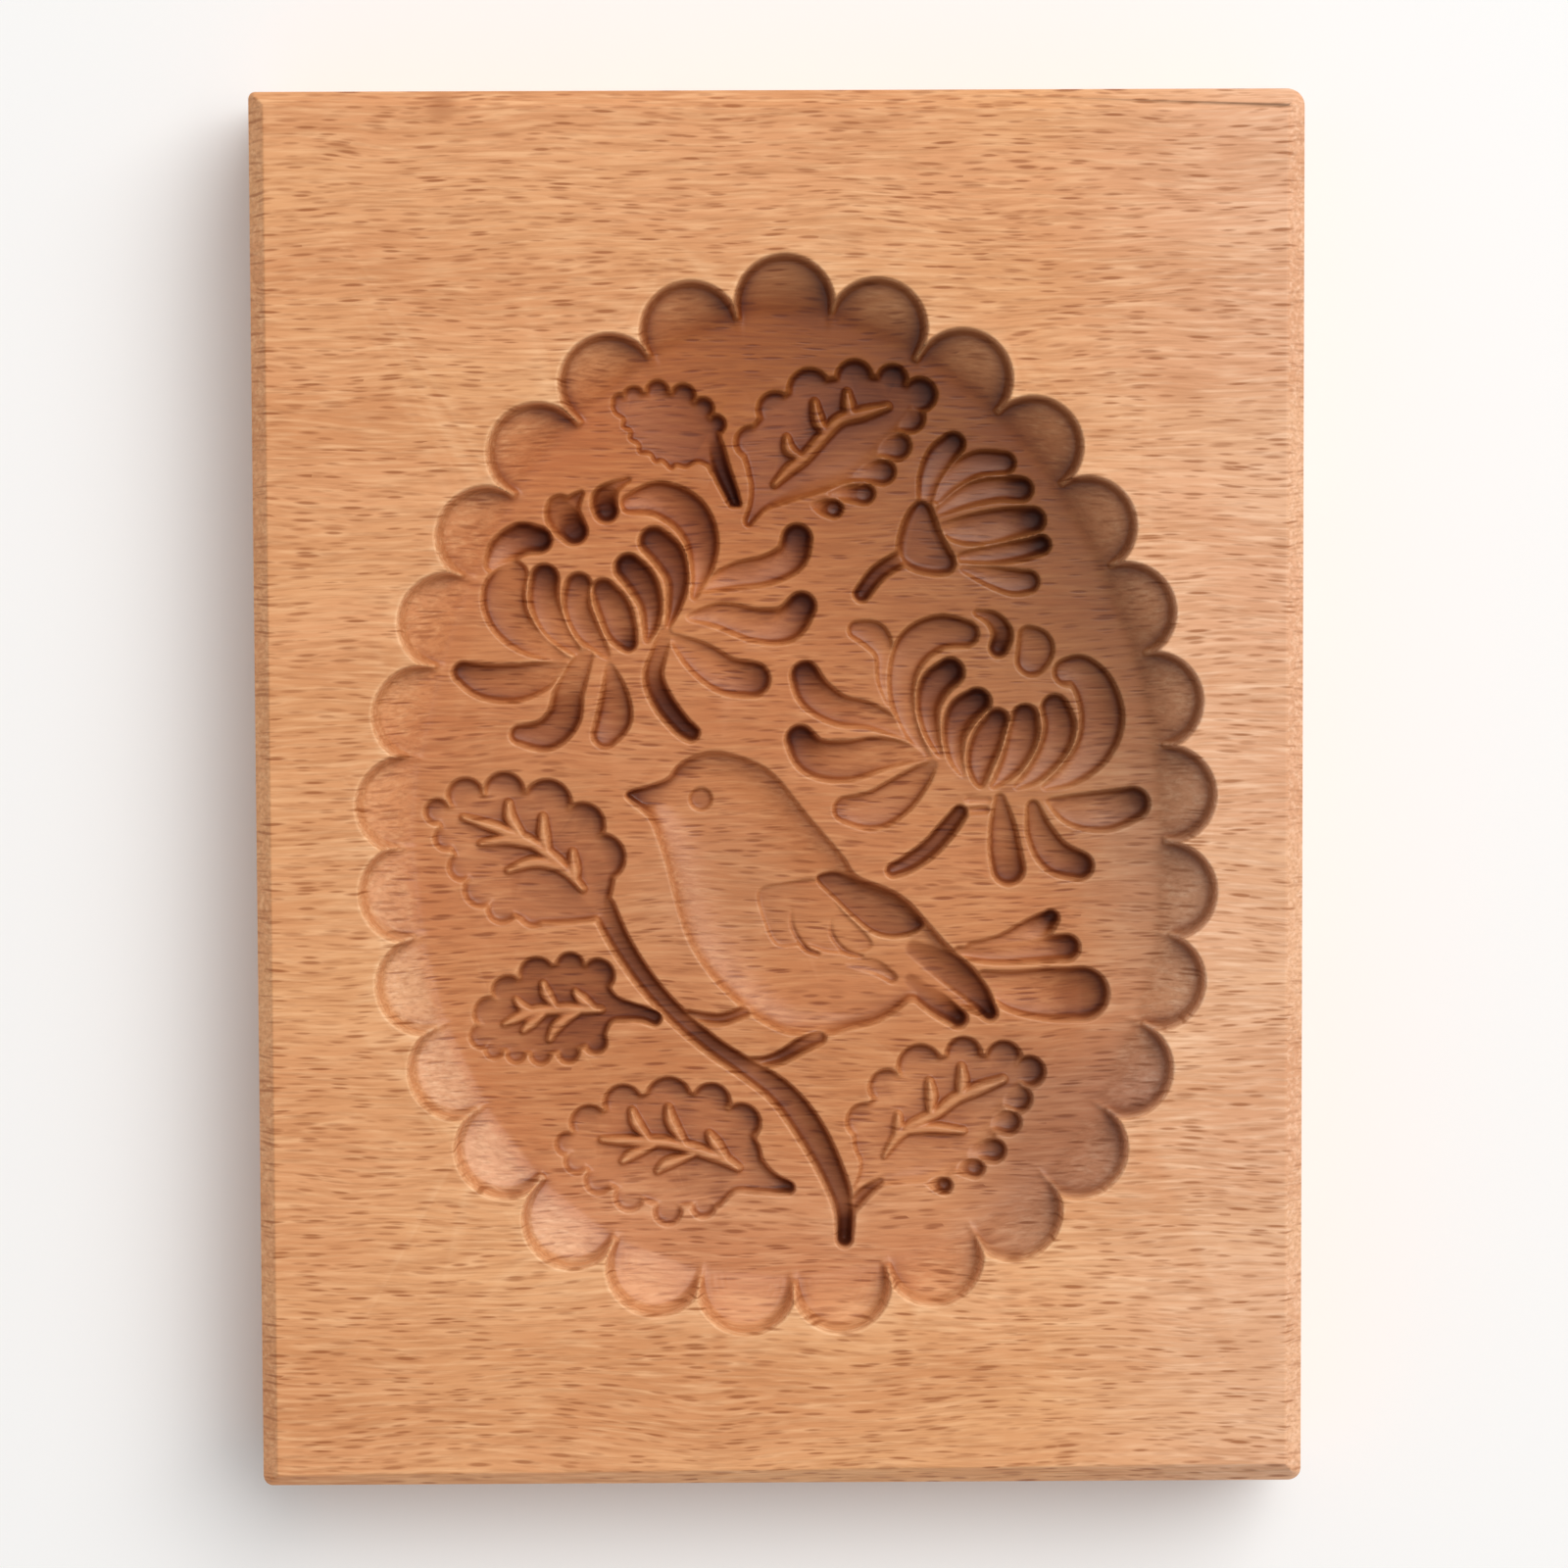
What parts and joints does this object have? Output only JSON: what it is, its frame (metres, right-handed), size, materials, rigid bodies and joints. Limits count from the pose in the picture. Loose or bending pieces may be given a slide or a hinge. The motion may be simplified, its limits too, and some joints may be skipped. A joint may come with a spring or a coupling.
{
  "type": "wooden cookie mould",
  "caption": "Flat wooden board with a scalloped oval hollow carved with a bird on a branch and flowers, for pressing cookie or gingerbread dough.",
  "frame": {"origin": "centre of the back face, which the board lies on", "axes": "+Z out of the carved face, +Y towards the top of the carved picture, +X towards the picture's right side"},
  "size_m": [0.12, 0.16, 0.02],
  "materials": {
    "beech": "bare beech, sanded smooth, with gouge marks in the carved hollow"
  },
  "bodies": {
    "root": {"mould_board": "beech"}
  },
  "joints": []
}
